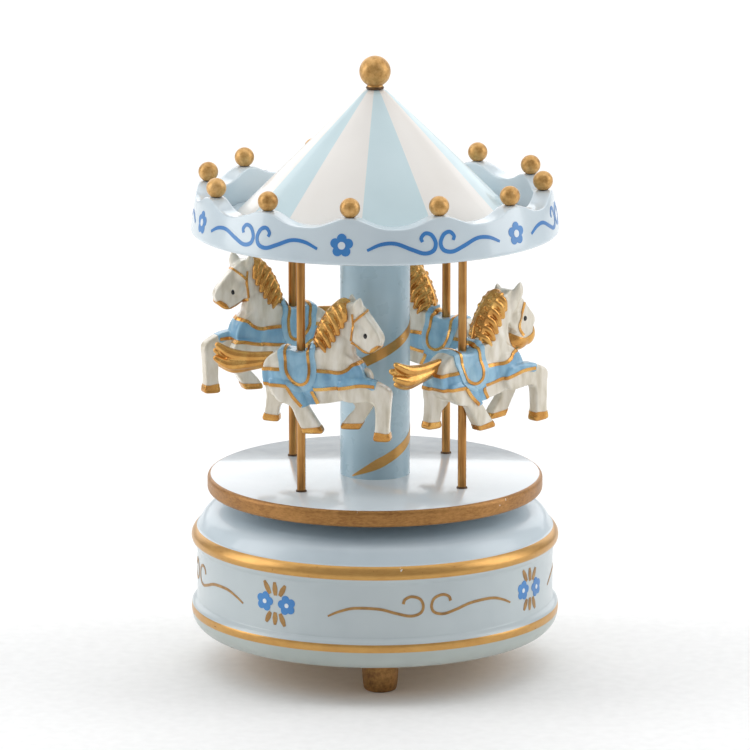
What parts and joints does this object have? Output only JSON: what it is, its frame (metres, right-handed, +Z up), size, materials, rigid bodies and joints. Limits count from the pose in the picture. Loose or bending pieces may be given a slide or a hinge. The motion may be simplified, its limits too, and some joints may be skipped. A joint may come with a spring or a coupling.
{
  "type": "carousel music box",
  "caption": "Wooden carousel music box: a drum base holds a clockwork melody movement that turns a platform of horses on poles under a conical canopy.",
  "frame": {"origin": "on the axis of rotation, in the plane that the feet stand on", "axes": "+Z up along the axis of rotation, -Y towards the front, +X to the right seen from the front"},
  "size_m": [0.104, 0.104, 0.1744],
  "materials": {
    "pale_lacquer": "gloss pale blue lacquer on turned wood",
    "column_lacquer": "gloss blue lacquer on turned wood",
    "roof_paint": "cream and pale blue stripes under clear lacquer",
    "gold_paint": "brushed metallic gold paint on wood",
    "pole_gold": "lacquered brass tube",
    "horse_white": "white enamel on cast resin",
    "harness_blue": "hand-painted blue enamel on cast resin",
    "horse_gold": "hand-painted metallic gold on cast resin",
    "ornament_blue": "brushed blue enamel line on lacquer",
    "bare_plywood": "bare sanded plywood",
    "movement_brass": "turned and polished",
    "movement_steel": "ground steel",
    "movement_zinc": "satin die-cast zinc",
    "movement_nylon": "moulded nylon"
  },
  "bodies": {
    "base": {"base_shell": "pale_lacquer", "base_cover": "bare_plywood", "foot_front": "gold_paint", "foot_back_right": "gold_paint", "foot_back_left": "gold_paint", "cover_screw_1": "movement_steel", "cover_screw_2": "movement_steel", "cover_screw_3": "movement_steel", "bedplate_screw_1": "movement_steel", "bedplate_screw_2": "movement_steel", "bedplate_screw_3": "movement_steel", "bedplate": "movement_zinc", "comb": "movement_steel", "comb_screw_1": "movement_steel", "comb_screw_2": "movement_steel", "spring_case": "movement_brass", "mainspring": "movement_steel", "governor_frame": "movement_zinc"},
    "turntable": {"crown_wheel": "movement_nylon", "winding_arbor": "movement_steel", "drive_flange": "movement_steel", "flange_screw_1": "movement_steel", "flange_screw_2": "movement_steel", "flange_screw_3": "movement_steel", "platform": "pale_lacquer", "column": "column_lacquer", "pole_front_left": "pole_gold", "pole_front_right": "pole_gold", "pole_back_right": "pole_gold", "pole_back_left": "pole_gold", "horse_front_left": "horse_white", "horse_front_right": "horse_white", "horse_back_right": "horse_white", "horse_back_left": "horse_white", "canopy_board": "pale_lacquer", "roof_cone": "roof_paint", "crown_ring": "pale_lacquer", "rim_ball_01": "gold_paint", "rim_ball_02": "gold_paint", "rim_ball_03": "gold_paint", "rim_ball_04": "gold_paint", "rim_ball_05": "gold_paint", "rim_ball_06": "gold_paint", "rim_ball_07": "gold_paint", "rim_ball_08": "gold_paint", "rim_ball_09": "gold_paint", "rim_ball_10": "gold_paint", "rim_ball_11": "gold_paint", "rim_ball_12": "gold_paint", "finial": "gold_paint"},
    "cylinder": {"melody_cylinder": "movement_brass", "cylinder_pinion": "movement_brass", "cylinder_gear": "movement_nylon"},
    "governor_shaft": {"governor_wheel": "movement_nylon"},
    "fan_shaft": {"governor_worm": "movement_steel", "air_fan": "movement_nylon"}
  },
  "joints": [
    {"name": "turntable_spin", "type": "hinge", "parent": "base", "child": "turntable", "pos_m": [0, 0, 0.0504], "axis": [0, 0, 1], "continuous": true},
    {"name": "cylinder_spin", "type": "hinge", "parent": "base", "child": "cylinder", "pos_m": [0.0214, 0, 0.031], "axis": [1, 0, 0], "continuous": true},
    {"name": "governor_wheel_spin", "type": "hinge", "parent": "base", "child": "governor_shaft", "pos_m": [0.0316, -0.008, 0.031], "axis": [1, 0, 0], "continuous": true},
    {"name": "fan_spin", "type": "hinge", "parent": "base", "child": "fan_shaft", "pos_m": [0.03158, -0.012, 0.0262], "axis": [0, 1, 0], "continuous": true}
  ],
  "couplings": [
    {"joint": "cylinder_spin", "follows": "turntable_spin", "ratio": -4},
    {"joint": "governor_wheel_spin", "follows": "turntable_spin", "ratio": 12},
    {"joint": "fan_spin", "follows": "turntable_spin", "ratio": -144}
  ]
}
